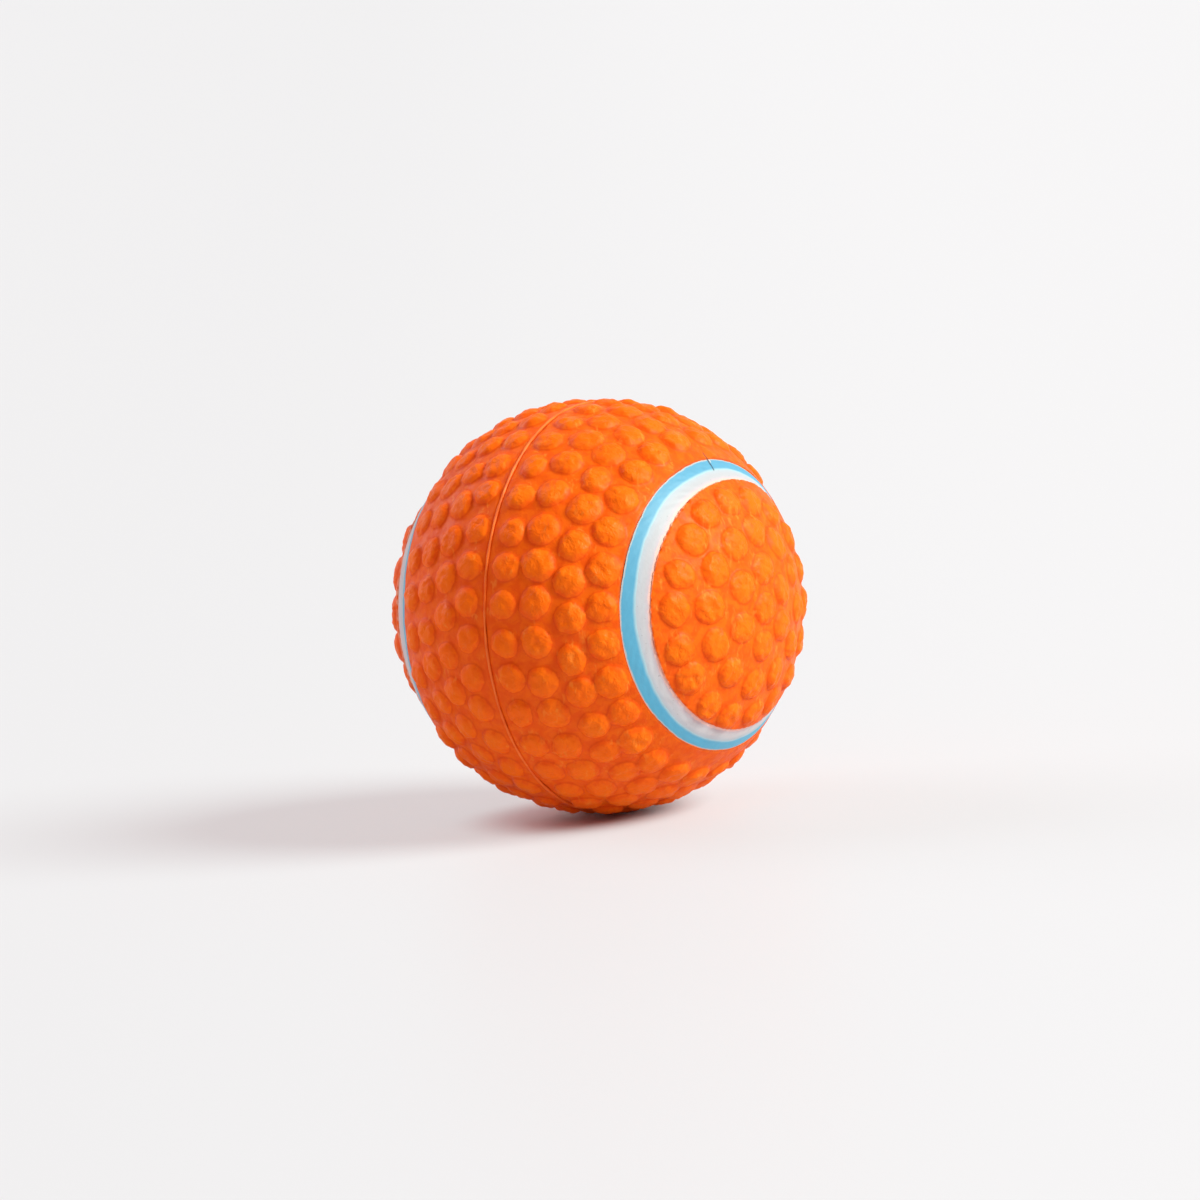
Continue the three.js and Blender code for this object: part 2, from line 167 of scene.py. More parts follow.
def leaning(ways, side, share=1.0):
    """Directions (n, 3) turned about Z by a share of the lean of the caps towards the front."""
    cos, sin = np.cos(CAP_LEAN * share), np.sin(-side * CAP_LEAN * share)
    x, y, z = np.moveaxis(ways, -1, 0)
    return np.stack([x * cos - y * sin, x * sin + y * cos, z], axis=-1)


def ring_stray(ring, turn, side):
    """How far a place across the groove strays from its circle: one wave round the ball for a shift, two waves for
    an oval, three for lobes; the width swells once round, and one bump pinches the groove from the cap's side."""
    shift = RING_GROWTH[side] + RING_SHIFT[side] * np.cos(turn - RING_SHIFT_WAY[side])
    oval = RING_OVAL[side] * np.cos(2 * (turn - RING_OVAL_WAY))
    lobes = RING_LOBES[side] * np.cos(3 * (turn - RING_LOBES_WAY))
    width = RING_WIDTH[side] + RING_SWELL[side] * np.cos(turn - RING_SWELL_WAY)
    ring = np.clip(ring, -LIP_HALF, LIP_HALF)
    bump = ((1 + np.cos(turn - RING_PINCH_WAY)) / 2) ** RING_PINCH_POWER
    pinch = RING_PINCH[side] * bump * (LIP_HALF - ring) / (2 * LIP_HALF)
    return shift + oval + lobes + (width - 1) * ring + pinch


def ripple(points, wavelength, seed, waves=28):
    """Smooth noise of unit spread: a sum of sine waves that run in random directions with random phases."""
    rng = np.random.default_rng(seed)
    ways = rng.normal(size=(3, waves))
    ways /= np.linalg.norm(ways, axis=0)
    lengths = wavelength * rng.uniform(*WAVE_SHARES, waves)
    phases = rng.uniform(0, 2 * np.pi, waves)
    return np.sin(points @ (ways * 2 * np.pi / lengths) + phases).sum(axis=-1) * np.sqrt(2 / waves)


def ripples(points, sizes, seed):
    """Sum of ripples, each given by its height and wavelength and drawn from the next seed."""
    return sum(height * ripple(points, wavelength, seed + k) for k, (height, wavelength) in enumerate(sizes))


# Meshes


def mesh_piece(name, points, faces, finish, body="shell", stands_for=(), slot=None, marks=None):
    """A smooth piece from points (n, 3) in millimetres and arrays of faces, at the origin, riding on a body.
    marks are numbers for each point that its finish reads."""
    sizes = np.concatenate([np.full(len(f), f.shape[1]) for f in faces])
    corners = np.concatenate([f.ravel() for f in faces])
    mesh = bpy.data.meshes.new(name)
    mesh.vertices.add(len(points))
    mesh.vertices.foreach_set("co", (points * MM).astype(np.float32).ravel())
    mesh.loops.add(len(corners))
    mesh.loops.foreach_set("vertex_index", corners.astype(np.int32))
    mesh.polygons.add(len(sizes))
    mesh.polygons.foreach_set("loop_start", (np.cumsum(sizes) - sizes).astype(np.int32))
    mesh.update(calc_edges=True)
    mesh.shade_smooth()
    for mark, values in (marks or {}).items():
        mesh.attributes.new(mark, "FLOAT", "POINT").data.foreach_set("value", values.astype(np.float32))
    mesh.materials.append(finish)
    piece = bpy.data.objects.new(name, mesh)
    bpy.context.scene.collection.objects.link(piece)
    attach(piece, body)
    if stands_for:
        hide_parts(*stands_for)
    return piece


def grid_faces(rows, columns, rows_close=False):
    """Quads of a grid of rows by columns whose columns close on themselves, and whose rows may."""
    row, column = np.meshgrid(np.arange(rows if rows_close else rows - 1), np.arange(columns), indexing="ij")
    below, beside = (row + 1) % rows, (column + 1) % columns
    corners = [row * columns + column, below * columns + column, below * columns + beside, row * columns + beside]
    return np.stack(corners, axis=-1).reshape(-1, 4)


def ring_faces(counts):
    """Faces of rings of points that follow each other, where counts[k] points are evenly spread on ring k.
    Rings of equal count are joined by quads, a single point by a fan, and a ring with six points more by
    six sectors of triangles, each sector one step longer on the fuller ring."""
    starts = np.cumsum(counts) - counts
    quads, triangles = [], []
    for k, (here, there) in enumerate(zip(counts[:-1], counts[1:])):
        a, b = starts[k], starts[k + 1]
        if here == there:
            j = np.arange(here)
            after = (j + 1) % here
            quads.append(np.stack([a + j, b + j, b + after, a + after], axis=-1))
        elif here == 1 or there == 1:
            ring, point = (b, a) if here == 1 else (a, b)
            j = np.arange(max(here, there))
            fan = np.stack([np.full(len(j), point), ring + j, ring + (j + 1) % len(j)], axis=-1)
            triangles.append(fan if here == 1 else fan[:, ::-1])
        else:
            m = here // 6
            sector, i = (x.ravel() for x in np.meshgrid(np.arange(6), np.arange(m + 1), indexing="ij"))
            inner, outer = sector * m + i, sector * (m + 1) + i
            wide = [a + inner % here, b + outer, b + (outer + 1) % there]
            triangles.append(np.stack(wide, axis=-1))
            inner, outer = inner[i < m], outer[i < m]
            narrow = [a + inner, b + (outer + 1) % there, a + (inner + 1) % here]
            triangles.append(np.stack(narrow, axis=-1))
    return [np.concatenate(f) for f in (quads, triangles) if f]


# Finishes


def srgb(red, green, blue):
    """A colour as seen on a screen, 0 to 255, as the linear colour that a shader takes."""
    c = np.array([red, green, blue]) / 255
    return (*np.where(c <= 0.04045, c / 12.92, ((c + 0.055) / 1.055) ** 2.4), 1.0)


class Finish:
    """A material of one Principled shader, and the few kinds of node that the ball's finishes are made of."""

    def __init__(self, name, **sockets):
        self.material = bpy.data.materials.new(name)
        self.material.use_nodes = True
        self.tree = self.material.node_tree
        self.shader = self.tree.nodes["Principled BSDF"]
        self.place = self.tree.nodes.new("ShaderNodeTexCoord").outputs["Object"]
        for socket, value in sockets.items():
            self.set(socket.replace("_", " "), value)

    def set(self, socket, value):
        """Gives a shader input a constant, or links it to another node's output."""
        self.join(self.shader.inputs[socket], value)

    def join(self, socket, value):
        """Gives any node's input a constant or a link."""
        if isinstance(value, bpy.types.NodeSocket):
            self.tree.links.new(value, socket)
        else:
            socket.default_value = value

    def node(self, kind, inputs, **settings):
        """A new node with its settings and inputs."""
        node = self.tree.nodes.new(kind)
        for setting, value in settings.items():
            setattr(node, setting, value)
        for socket, value in inputs.items():
            self.join(node.inputs[socket], value)
        return node

    def stretched(self, scale, turn):
        """Object coordinates turned about the axes and drawn out, for grain that runs one way."""
        inputs = {"Vector": self.place, "Scale": scale, "Rotation": turn}
        return self.node("ShaderNodeMapping", inputs).outputs["Vector"]

    def noise(self, size, detail=2.0, distortion=0.0, at=None):
        """Noise between about 0.3 and 0.7, whose features are about size millimetres across."""
        inputs = {"Vector": at or self.place, "Scale": 1 / (size * MM), "Detail": detail, "Distortion": distortion}
        return self.node("ShaderNodeTexNoise", inputs).outputs["Fac"]

    def cells(self, size):
        """Distance from the middle of the nearest cell, cells being about size millimetres across."""
        inputs = {"Vector": self.place, "Scale": 1 / (size * MM)}
        return self.node("ShaderNodeTexVoronoi", inputs).outputs["Distance"]

    def along(self, direction):
        """How far a point lies along a direction from the ball's middle, in millimetres."""
        inputs = {0: self.place, 1: [float(d) / MM for d in direction]}
        return self.node("ShaderNodeVectorMath", inputs, operation="DOT_PRODUCT").outputs["Value"]

    def reach(self, point):
        """How far a point lies from a given point, in millimetres."""
        inputs = {0: self.place, 1: [float(p) * MM for p in point]}
        return self.times(self.node("ShaderNodeVectorMath", inputs, operation="DISTANCE").outputs["Value"], 1 / MM)

    def mark(self, name):
        """A number that the mesh holds for each of its points."""
        return self.node("ShaderNodeAttribute", {}, attribute_name=name).outputs["Fac"]

    def spread(self, value, start, end, low=0.0, high=1.0):
        """Maps start..end of a value smoothly to low..high."""
        inputs = {0: value, 1: start, 2: end, 3: low, 4: high}
        return self.node("ShaderNodeMapRange", inputs, interpolation_type="SMOOTHSTEP").outputs[0]

    def hump(self, value, middle, half):
        """1 at the middle, falling smoothly to 0 at half to either side."""
        return self.times(self.spread(value, middle - half, middle), self.spread(value, middle + half, middle))

    def sum(self, a, b, weight=1.0):
        """a plus weight times b."""
        return self.node("ShaderNodeMath", {0: b, 1: weight, 2: a}, operation="MULTIPLY_ADD").outputs[0]

    def times(self, a, b):
        """a times b."""
        return self.node("ShaderNodeMath", {0: a, 1: b}, operation="MULTIPLY").outputs[0]

    def mix(self, share, a, b):
        """Colour a where share is 0, colour b where it is 1."""
        node = self.node("ShaderNodeMix", {0: share, 6: a, 7: b}, data_type="RGBA")
        return node.outputs[2]

    def bump(self, height, depth, under=None):
        """A height of 0 to 1 felt as depth millimetres."""
        inputs = {"Height": height, "Distance": depth * MM, "Strength": 1.0}
        if under is not None:
            inputs["Normal"] = under
        return self.node("ShaderNodeBump", inputs).outputs["Normal"]


# The nick across the blue line at the top of the right ring, as polar angle and turn of its ends
NICK_ENDS = on_ball(np.radians([47.2, 41.8]), np.radians([92.4, 90.2]), 1)
NICK_WIDTH = 0.25


def nick_line(finish, aside=0.0):
    """1 on a thin line beside the plane through the nick and the ball's middle, aside millimetres from it."""
    plane = np.cross(*NICK_ENDS)
    return finish.hump(finish.along(plane / np.linalg.norm(plane)), aside, NICK_WIDTH)


RING_HEIGHT = 24.0  # of the top of the rings over the ball's middle


def upward(finish):
    """0 at the foot of the rings and 1 at their top."""
    return finish.spread(finish.along((0, 0, 1)), -RING_HEIGHT, RING_HEIGHT)


def rubber_finish():
    """Moulded orange rubber: mottled, darker and redder in the valleys as painted shade, deep with painted shade at
    the foot of the nubs and clear orange on their tops, with a pale bloom in streaks that is partly a painted sheen,
    a fine grain, wrinkled tops, a dark line along the groove's lip on the body's side as a painted shadow, thin
    colour run up the wall of the cap and the end of the nick."""
    finish = Finish("orange_rubber", Specular_IOR_Level=0.11)
    relief = finish.mark("relief")
    ring = finish.mark("ring")
    cloud = finish.spread(finish.noise(7.0, detail=3), 0.35, 0.65)
    # painted shade: a darker red ring round the foot of each nub
    foot = finish.hump(relief, 0.12, 0.2)
    top = finish.spread(relief, 0.35, 0.9)
    mottle = finish.spread(finish.noise(1.5, detail=4, distortion=0.6), 0.36, 0.64)
    # painted shade: the valleys are darker and redder than the nub tops, and mottled at random besides
    mottled_valley_shade = finish.mix(mottle, srgb(244, 92, 10), srgb(254, 111, 11))
    top_colour = finish.mix(cloud, srgb(253, 106, 6), srgb(255, 115, 8))
    colour = finish.mix(top, mottled_valley_shade, top_colour)
    # the ring of painted shade at the nubs' feet
    colour = finish.mix(finish.times(foot, 0.6), colour, srgb(224, 72, 2))
    drawn = finish.stretched((1.0, 1.0, 0.35), (0.5, 0.25, 0.4))
    streaks = finish.spread(finish.noise(0.7, detail=4, distortion=0.6, at=drawn), 0.5, 0.68)
    patches = finish.spread(finish.noise(3.2, detail=3, distortion=0.8), 0.48, 0.66)
    # pale peach streaks and patches: partly a real bloom on the rubber, partly a painted sheen
    bloom_and_sheen = finish.times(finish.times(streaks, patches), 0.42)
    colour = finish.mix(bloom_and_sheen, colour, srgb(255, 154, 60))
    nibbled = finish.sum(ring, finish.noise(0.6, detail=3), 0.3)
    # painted shadow: a dark line on the body's lip of the groove, beside the paint
    body_lip_shadow = finish.times(finish.hump(nibbled, LIP_HALF + 0.16, 0.26), 0.65)
    colour = finish.mix(body_lip_shadow, colour, srgb(176, 74, 34))
    wall = finish.hump(nibbled, -LIP_HALF + 0.34, 0.26)
    colour = finish.mix(wall, colour, srgb(246, 184, 156))
    nick = finish.times(nick_line(finish), finish.spread(finish.reach(NICK_ENDS[0] * BASE_RADIUS), 1.1, 0.7))
    finish.set("Base Color", finish.mix(nick, colour, srgb(96, 54, 44)))
    finish.set("Roughness", finish.spread(finish.noise(1.6), 0.35, 0.65, 0.4, 0.56))
    grain = finish.bump(finish.noise(0.3, detail=3), 0.018)
    scratched = finish.bump(finish.times(streaks, top), 0.03, grain)
    worn = finish.spread(relief, 0.3, 0.9, 0.3, 1.0)
    wrinkles = finish.times(finish.noise(0.9, detail=2, distortion=1.2), worn)
    finish.set("Normal", finish.bump(wrinkles, 0.19, scratched))
    return finish.material


def bond_finish():
    """The bond line: the same rubber, a little paler and smoother."""
    finish = Finish("orange_bond", Roughness=0.4, Specular_IOR_Level=0.25)
    cloud = finish.spread(finish.noise(3.0), 0.35, 0.65)
    finish.set("Base Color", finish.mix(cloud, srgb(242, 106, 30), srgb(250, 122, 42)))
    finish.set("Normal", finish.bump(finish.noise(0.5), 0.03))
    return finish.material


def blue_finish():
    """Blue line: flexible paint, a little greyer towards the top as painted shade, paler where it meets the white,
    with a thin pale edge towards the body, faint streaks, and one dark nick with a short raised edge beside it."""
    finish = Finish("blue_paint", Roughness=0.5, Specular_IOR_Level=0.65)
    across = finish.mark("across")
    streak = finish.spread(finish.noise(1.6, detail=3), 0.3, 0.7)
    # painted shade: greyer towards the top, to hold back the stronger light there
    colour = finish.mix(upward(finish), srgb(77, 174, 212), srgb(79, 153, 189))
    colour = finish.mix(finish.times(streak, 0.3), colour, srgb(92, 171, 206))
    colour = finish.mix(finish.spread(across, 0.24, 0.0), colour, srgb(170, 202, 214))
    nibbled = finish.sum(across, finish.noise(0.7), 0.12)
    colour = finish.mix(finish.spread(nibbled, 0.92, 1.02), colour, srgb(184, 188, 191))
    at_nick = finish.spread(finish.reach(NICK_ENDS.mean(axis=0) * BASE_RADIUS), 3.0, 2.4)
    dark = finish.times(nick_line(finish), at_nick)
    light = finish.times(nick_line(finish, 1.5 * NICK_WIDTH), finish.times(at_nick, finish.spread(across, 0.6, 0.8)))
    colour = finish.mix(light, colour, srgb(206, 208, 212))
    finish.set("Base Color", finish.mix(dark, colour, srgb(34, 52, 72)))
    grain = finish.bump(finish.noise(0.6, detail=3), 0.02)
    finish.set("Normal", finish.bump(finish.spread(dark, 1.0, 0.0), 0.1, grain))
    return finish.material


def white_finish():
    """White line: flexible paint, a little greyer towards the top as painted shade, cool beside the blue, greyish
    pink towards the cap as painted shade and a painted reflection of the orange wall, with a pink edge there and a
    few grey specks."""
    finish = Finish("white_paint", Roughness=0.45, Specular_IOR_Level=0.3)
    across = finish.mark("across")
    cloud = finish.spread(finish.noise(2.6, detail=3), 0.3, 0.7)
    colour = finish.mix(cloud, srgb(200, 198, 204), srgb(208, 206, 211))
    # painted shade: greyer towards the top, to hold back the stronger light there
    colour = finish.mix(finish.times(upward(finish), 0.85), colour, srgb(184, 183, 191))
    colour = finish.mix(finish.spread(across, 0.6, 1.0), colour, srgb(184, 191, 202))
    nibbled = finish.sum(across, finish.noise(0.8, detail=3), 0.24)
    # painted shade and painted orange reflection: greyish pink towards the cap's wall
    colour = finish.mix(finish.spread(nibbled, 0.62, 0.3), colour, srgb(202, 187, 195))
    colour = finish.mix(finish.spread(nibbled, 0.34, 0.22), colour, srgb(240, 196, 186))
    specks = finish.spread(finish.noise(0.45, detail=1), 0.71, 0.77)
    finish.set("Base Color", finish.mix(finish.times(specks, 0.5), colour, srgb(150, 148, 150)))
    finish.set("Normal", finish.bump(finish.noise(0.6, detail=3), 0.02))
    return finish.material


def foam_finish():
    """Open-cell foam: cream, pitted by small cells and darker in the pits as painted shade."""
    finish = Finish("cream_foam", Roughness=0.95)
    cells = finish.cells(0.8)
    # painted shade: darker towards the bottom of each pit
    finish.set("Base Color", finish.mix(finish.spread(cells, 0.1, 0.6), srgb(176, 160, 118), srgb(212, 198, 158)))
    finish.set("Normal", finish.bump(cells, 0.4))
    return finish.material


def plastic_finish(name, dark, light, roughness):
    """Moulded plastic: clouded a little, with faint flow marks."""
    finish = Finish(name, Roughness=roughness)
    finish.set("Base Color", finish.mix(finish.spread(finish.noise(3.0, detail=3), 0.3, 0.7), dark, light))
    finish.set("Normal", finish.bump(finish.noise(1.2, detail=2), 0.02))
    return finish.material


RUBBER = rubber_finish()
BOND = bond_finish()
BLUE = blue_finish()
WHITE = white_finish()
FOAM = foam_finish()
BELLOWS_PLASTIC = plastic_finish("bellows_plastic", srgb(200, 201, 195), srgb(214, 214, 209), 0.4)
REED_PLASTIC = plastic_finish("reed_plastic", srgb(190, 200, 206), srgb(204, 211, 215), 0.3)
REED_FILM = plastic_finish("reed_film", srgb(166, 184, 197), srgb(182, 199, 210), 0.15)


# Skin

DOME_POWER, DOME_FULLNESS, FOOT_SOFTNESS = 2.6, 0.66, 0.05
DIMPLE_REACH, CREASE_REACH = 0.9, 0.3
LUMPY_RELIEF = (0.2, 0.6)
LIP_BARE = (LIP_HALF - 0.2, LIP_HALF + 0.5)  # no nub rises nearer to the groove's middle, each in full farther off
STRAY_FROM_POLE, STRAY_TO_SEAM = 4.0, 3.0  # arcs off the pole and the seam between which the rings follow the groove
CAP_RINGS = 88
CAP_WALL_RINGS, FLOOR_RINGS, BODY_WALL_RINGS = 9, 6, 9
BODY_RINGS = 70
SEAM_RINGS = 7
INNER_RINGS = 8


def nub_places(side, rng):
    """Polar angles, turns, shares of the width and height, and shares of the lean of one half's nubs, row by row, a
    little out of line."""
    rows = [(0.0, 1, 0.0, 1.0, CAP_NUB_RISE)]
    for row in range(1, CAP_ROWS + 1):
        polar = row * (NUB_WIDTH + CAP_ROW_GAP) / BASE_RADIUS
        count = round(2 * np.pi * BASE_RADIUS * np.sin(polar) / (NUB_WIDTH + CAP_NUB_GAP))
        rows.append((polar, count, CAP_STARTS[row - 1], 1.0, CAP_NUB_RISE))
    for row in range(BODY_ROWS):
        polar = (EQUATOR_ARC - FIRST_ROW[side] - row * ROW_STEP[side]) / BASE_RADIUS
        solid_polar = (EQUATOR_ARC - SOLID_FIRST_ROW - row * SOLID_ROW_STEP) / BASE_RADIUS
        count = round(2 * np.pi * BASE_RADIUS * np.sin(solid_polar) / (NUB_WIDTH + BODY_NUB_GAP))
        rows.append((polar, count, BODY_STARTS[side][row], BODY_WIDTHS[side][row], 1.0))
    polar, count, start, width, rise = (np.array(column) for column in zip(*rows))
    number = np.concatenate([np.arange(c) for c in count])
    polar, start, width, rise, full = (np.repeat(a, count) for a in (polar, start, width, rise, count))
    turn = np.radians(start) + 2 * np.pi * number / full
    lean = (polar * BASE_RADIUS < GROOVE_ARC).astype(float)
    shift = rng.normal(0, NUB_STRAY, size=(2, len(polar))) / BASE_RADIUS
    polar = polar + np.clip(shift[0], -ROW_STRAY_MOST, ROW_STRAY_MOST)
    turn = turn + shift[1] / np.maximum(np.sin(polar), SINE_LEAST)
    return polar, turn, width, rise, lean


def nub_relief(ways, side, seed):
    """Height of the nubs over the plain surface along unit directions (n, 3). A point belongs to its nearest nub.
    Across a nub, with u the distance from its middle, a little ragged, over its foot's radius, the height is a
    flattened dome, (1 - u^DOME_POWER)^DOME_FULLNESS with a soft foot, less a dimple and a crease; each nub has its
    own width, slant and wear."""
    rng = np.random.default_rng(seed)
    polar, turn, width, rise, lean = nub_places(side, rng)
    middle = leaning(on_ball(polar, turn, side), side, lean)
    outward = leaning(on_ball(polar + np.pi / 2, turn, side), side, lean)
    along = np.cross(middle, outward)
    n = len(polar)
    width = NUB_WIDTH / 2 * width * rng.uniform(*WIDTH_SHARES, n)
    rise = NUB_HEIGHT * rise * rng.uniform(*RISE_SHARES, n)
    oval, oval_way = rng.uniform(*OVALS, n), rng.uniform(0, np.pi, n)
    slant, slant_way = rng.uniform(*SLANTS, n), rng.uniform(0, 2 * np.pi, n)
    dimple = rng.uniform(*DIMPLE_DEPTHS, n).clip(0)
    crease, crease_way = rng.uniform(*CREASE_DEPTHS, n).clip(0), rng.uniform(0, np.pi, n)
    crease_off = rng.uniform(*CREASE_OFFS, n)

    nearest = np.argmax(ways.astype(np.float32) @ middle.T.astype(np.float32), axis=1)
    x = (ways * outward[nearest]).sum(axis=1) * BASE_RADIUS
    y = (ways * along[nearest]).sum(axis=1) * BASE_RADIUS
    facing = (ways * middle[nearest]).sum(axis=1)
    reach = np.arccos(np.clip(facing, -1, 1)) * BASE_RADIUS
    way = np.arctan2(y, x)
    ragged = ripples(ways * BASE_RADIUS, RAGGED_FEET, seed + 6)
    u = (reach + ragged).clip(0) / (width[nearest] * (1 + oval[nearest] * np.cos(2 * (way - oval_way[nearest]))))
    inside = 1 - u**DOME_POWER
    dome = ((inside + np.hypot(inside, FOOT_SOFTNESS)) / 2) ** DOME_FULLNESS
    top = 1 + slant[nearest] * u * np.cos(way - slant_way[nearest])
    across = reach * np.sin(way - crease_way[nearest]) - crease_off[nearest]
    hollow = dimple[nearest] * np.exp(-((reach / DIMPLE_REACH) ** 2))
    fold = crease[nearest] * np.exp(-((across / CREASE_REACH) ** 2))
    return dome * (rise[nearest] * top - (hollow + fold))


def half_skin(name, node, side):
    """One half of the skin as rings about the axis: from the pole of the cap over the groove and the body to the
    parting face, then back over the plain inner ball to the pole. The rings lean with the cap and bend with the
    groove's stray. The groove's walls and the crease beside the bond line are cubic steps down from the plain
    surface."""
    cap_lip, body_lip = GROOVE_ARC - LIP_HALF, GROOVE_ARC + LIP_HALF
    arcs = np.concatenate(
        [
            np.linspace(0, cap_lip, CAP_RINGS + 1),
            np.linspace(cap_lip, cap_lip + GROOVE_WALL, CAP_WALL_RINGS + 1)[1:],
            np.linspace(cap_lip + GROOVE_WALL, body_lip - GROOVE_WALL, FLOOR_RINGS + 1)[1:],
            np.linspace(body_lip - GROOVE_WALL, body_lip, BODY_WALL_RINGS + 1)[1:],
            np.linspace(body_lip, SEAM_ARC - SEAM_CREASE_REACH, BODY_RINGS + 1)[1:],
            np.linspace(SEAM_ARC - SEAM_CREASE_REACH, SEAM_ARC, SEAM_RINGS + 1)[1:],
        ]
    )
    growing = CAP_RINGS + CAP_WALL_RINGS + FLOOR_RINGS + BODY_WALL_RINGS
    counts = 6 * np.minimum(np.arange(len(arcs)), growing)
    counts[0] = 1
    full = counts[-1]
    inner_polar = np.linspace(np.arccos(PARTING / INNER_RADIUS), 0, INNER_RINGS + 1)
    inner_counts = np.array([full] * INNER_RINGS + [1])
    all_counts = np.concatenate([counts, inner_counts])

    starts = np.cumsum(all_counts) - all_counts
    index = np.arange(all_counts.sum()) - np.repeat(starts, all_counts)
    turn = 2 * np.pi * index / np.repeat(all_counts, all_counts)
    outer = np.arange(len(index)) < counts.sum()
    arc = np.repeat(np.concatenate([arcs, inner_polar * BASE_RADIUS]), all_counts)
    ring = arc - GROOVE_ARC
    outside = smooth_step(SEAM_ARC - STRAY_TO_SEAM, body_lip, arc) * outer
    stray = ring_stray(ring, turn, side) * smooth_step(STRAY_FROM_POLE, cap_lip, arc) * outside
    ways = leaning(on_ball((arc + stray) / BASE_RADIUS, turn, side), side, outside)

    seed = SKIN_SEEDS[side]
    base = ways * BASE_RADIUS
    nibble = ripples(base, LIP_NIBBLE, seed + 5)
    cap_wall = smooth_step(-LIP_HALF, -LIP_HALF + GROOVE_WALL, ring + nibble)
    floor = cap_wall * smooth_step(LIP_HALF, LIP_HALF - GROOVE_WALL, ring)
    crease = smooth_step(SEAM_ARC - SEAM_CREASE_REACH, SEAM_ARC, arc)
    depth = GROOVE_DEPTH * floor + SEAM_CREASE * crease
    relief = nub_relief(ways, side, seed) * smooth_step(*LIP_BARE, np.abs(ring))
    plain = ripples(base, PLAIN_SWELLS, seed + 1)
    worn = ripples(base, NUB_LUMPS, seed + 3) * smooth_step(*LUMPY_RELIEF, relief)
    radius = np.where(outer, BASE_RADIUS - depth + relief + worn + plain * (1 - floor), INNER_RADIUS)
    points = ways * radius[:, None]
    points[:, 0] = side * np.maximum(side * points[:, 0], PARTING)

    faces = ring_faces(all_counts)
    if side > 0:
        faces = [f[:, ::-1] for f in faces]
    marks = {"relief": np.where(outer, relief / NUB_HEIGHT, 0.0), "ring": np.where(outer, ring, 2 * LIP_HALF)}
    return mesh_piece(name, points, faces, RUBBER, stands_for=[node], slot="orange_rubber", marks=marks)


# Colour lines and bond line

LINE_STEPS = 1080
LINE_ROWS = 14
LINE_EDGE = 0.005  # share of a line's width from its edge to its first row, so that its corner shades crisply
BEAD_STEPS = 12


def line_depth(ring):
    """Depth of the paint's face below the plain surface: it falls smoothly from the body's lip to the cap's wall."""
    return LINE_DEPTH_BODY + (LINE_DEPTH_CAP - LINE_DEPTH_BODY) * smooth_step(LIP_HALF, -LIP_HALF, ring)


def groove_circle(turn, side):
    """Points (n, 3) of the circle along the middle of the groove, before it leans and strays."""
    return on_ball(np.full(turn.shape, GROOVE_ARC / BASE_RADIUS), turn, side) * BASE_RADIUS


def edge_waver(edge, turn, side):
    """How far a paint edge wavers: long and short waves, the same for the two lines that share an edge; the border
    between the colours also swings in three waves round the ring."""
    circle = groove_circle(turn, side)
    seed = round(EDGE_SEED + 10 * edge) + side
    swing = BORDER_LOBES[side] * np.cos(3 * (turn - BORDER_LOBES_WAY)) * (edge == COLOUR_BORDER[side])
    return swing + ripples(circle, [EDGE_WAVER], seed) + ripples(circle, [EDGE_FRAY], seed + 5)


def colour_line(name, node, side, ring_from, ring_to, finish, slot, seed):
    """A closed ring of paint in the groove: its face follows the groove from one distance across it to the other
    with slightly wavering edges, and its back lies below."""
    turn = 2 * np.pi * np.arange(LINE_STEPS) / LINE_STEPS
    across = np.concatenate([[0.0], np.linspace(LINE_EDGE, 1 - LINE_EDGE, LINE_ROWS), [1.0]])
    start = ring_from + edge_waver(ring_from, turn, side)
    end = ring_to + edge_waver(ring_to, turn, side)
    ring = start + (end - start) * across[:, None]
    ruffle = ripples(groove_circle(turn, side) + PAINT_RUFFLE_SLANT * ring[..., None], [PAINT_RUFFLE], seed)
    depth = line_depth(ring) + ruffle * np.sin(np.pi * across)[:, None]
    back = np.full((2, LINE_STEPS), LINE_BACK)
    rings = np.concatenate([ring, ring[-1:], ring[:1]])
    depths = np.concatenate([depth, back])
    shares = np.concatenate([across, [1.0, 0.0]])
    polar = (GROOVE_ARC + rings + ring_stray(rings, turn, side)) / BASE_RADIUS
    ways = leaning(on_ball(polar, np.broadcast_to(turn, rings.shape), side), side)
    points = ways * (BASE_RADIUS - depths)[..., None]
    faces = grid_faces(len(rings), LINE_STEPS, rows_close=True)
    marks = {"across": np.repeat(shares, LINE_STEPS)}
    return mesh_piece(
        name, points.reshape(-1, 3), [faces[:, ::-1] if side > 0 else faces], finish,
        stands_for=[node], slot=slot, marks=marks,
    )


def bond_line():
    """The raised line of cured bond: a half-round section carried round the parting plane, wavering a little."""
    turn = 2 * np.pi * np.arange(LINE_STEPS) / LINE_STEPS
    angle = 2 * np.pi * np.arange(BEAD_STEPS)[:, None] / BEAD_STEPS
    circle = on_ball(np.full(LINE_STEPS, np.pi / 2), turn, 1) * BASE_RADIUS
    swell = 1 + ripples(circle, [BEAD_SWELL], BEAD_SEED)
    shift = ripples(circle, [BEAD_WAVER], BEAD_SEED + 1)
    rise = BEAD_RISE * np.sin(angle) * swell
    x = BEAD_HALF_WIDTH * np.cos(angle) * swell + shift
    points = circle[None] * (1 + rise / BASE_RADIUS)[..., None]
    points[..., 0] = x
    return mesh_piece(
        "bond_line", points.reshape(-1, 3), [grid_faces(BEAD_STEPS, LINE_STEPS, rows_close=True)], BOND,
        stands_for=["seam_bead"], slot="orange_bond",
    )


# Foam and squeaker

